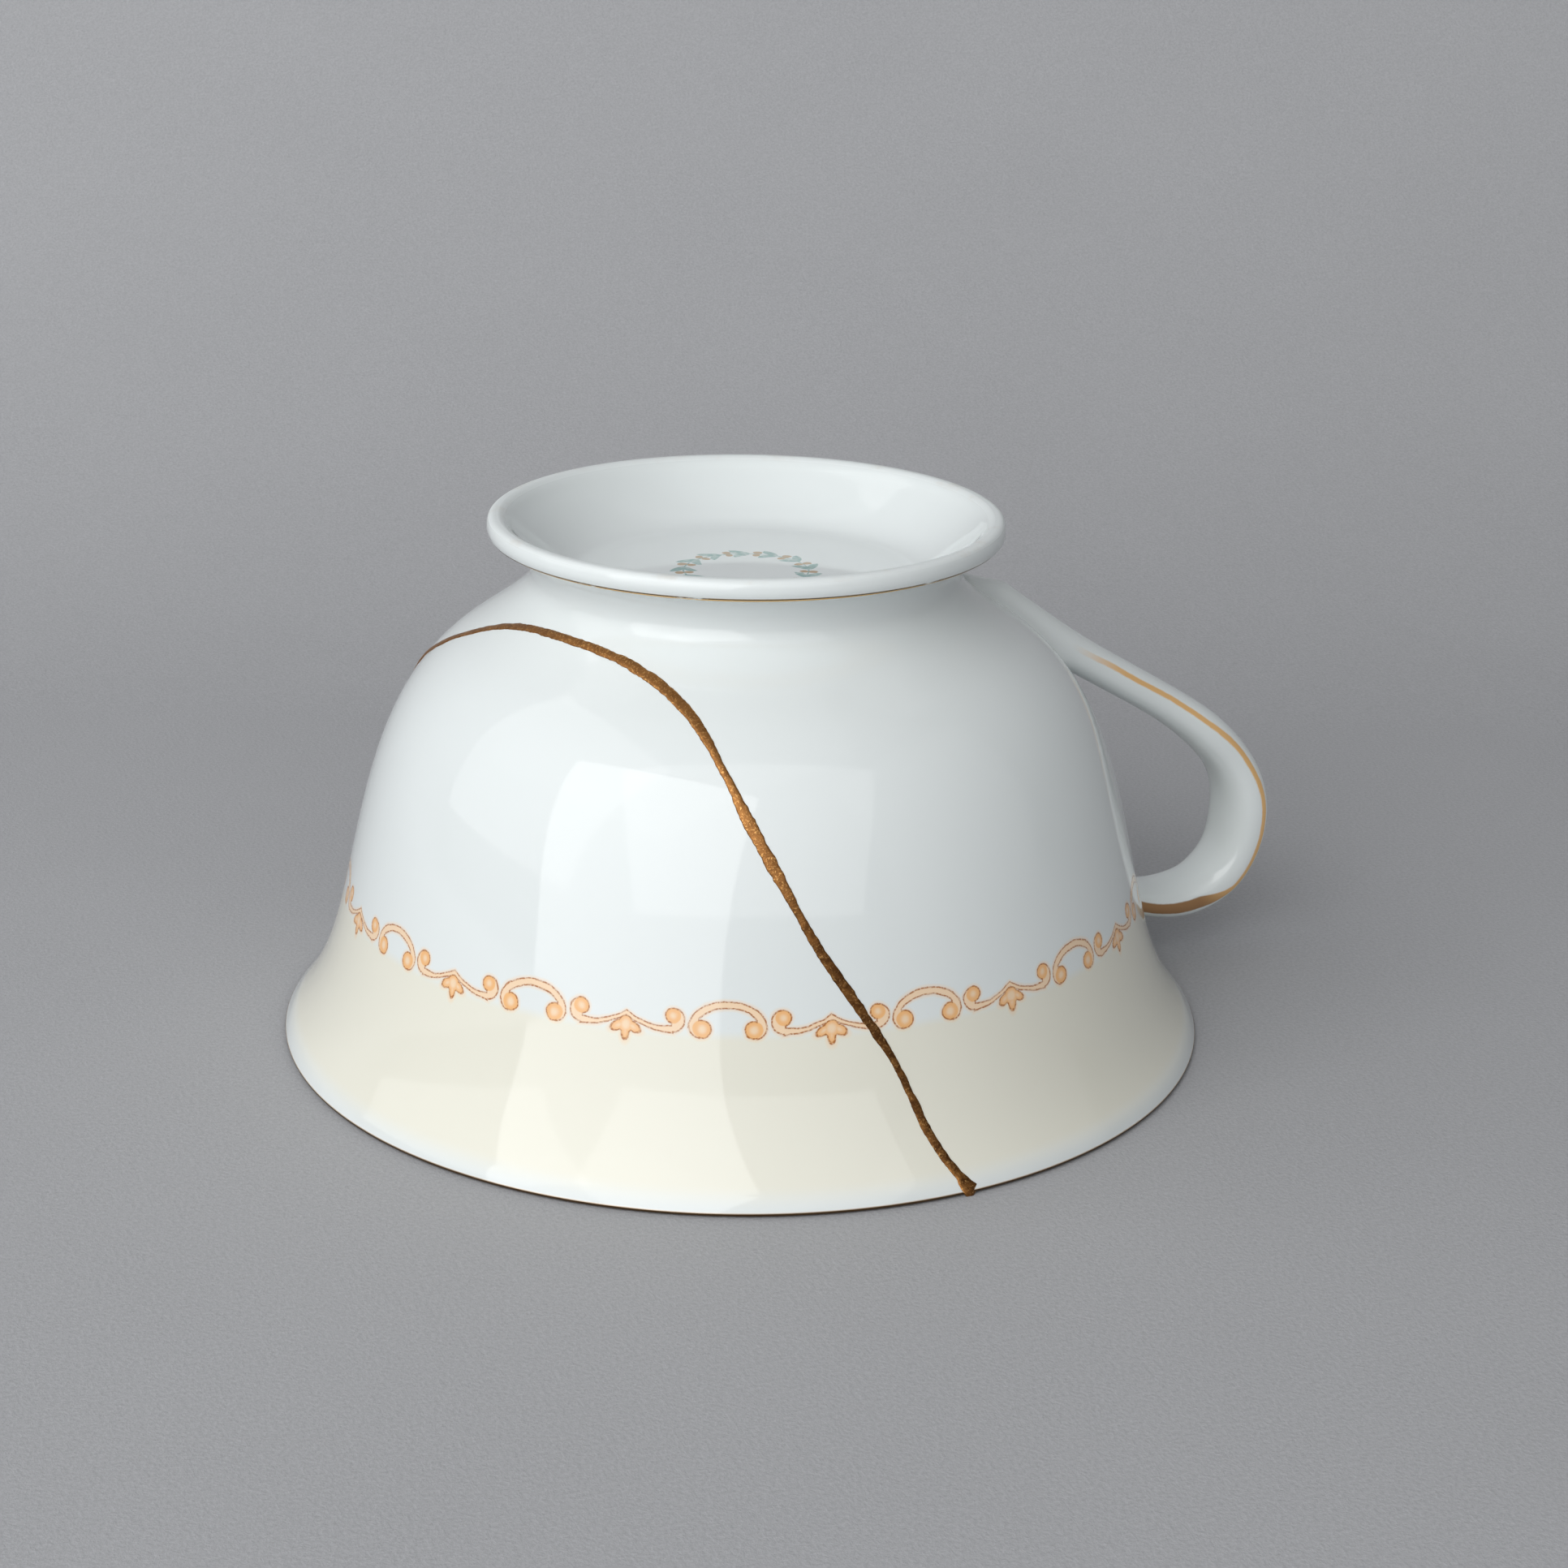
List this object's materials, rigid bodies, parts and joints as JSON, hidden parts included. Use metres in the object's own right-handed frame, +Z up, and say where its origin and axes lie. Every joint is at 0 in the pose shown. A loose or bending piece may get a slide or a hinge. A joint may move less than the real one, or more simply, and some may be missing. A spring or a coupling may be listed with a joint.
{
  "type": "kintsugi teacup",
  "caption": "Footed porcelain teacup with a strap handle, resting upside down on its rim, a broken-out piece of its wall rejoined by a raised gold seam.",
  "frame": {"origin": "middle of the bounding box, at the height of the rim that the cup rests on", "axes": "+Z up, from the rim towards the foot ring; +X from the cup's axis towards the handle; +Y follows by the right-hand rule"},
  "size_m": [0.1146, 0.1, 0.0565],
  "materials": {
    "porcelain": "glossy cool white glaze, with a cream band, a tan scroll border and thin gilt lines",
    "gold_lacquer": "bronze-coloured metal powder on lacquer, satin and slightly uneven"
  },
  "bodies": {
    "root": {"cup_body": "porcelain", "rejoined_shard": "porcelain", "gold_seam": "gold_lacquer"}
  },
  "joints": []
}
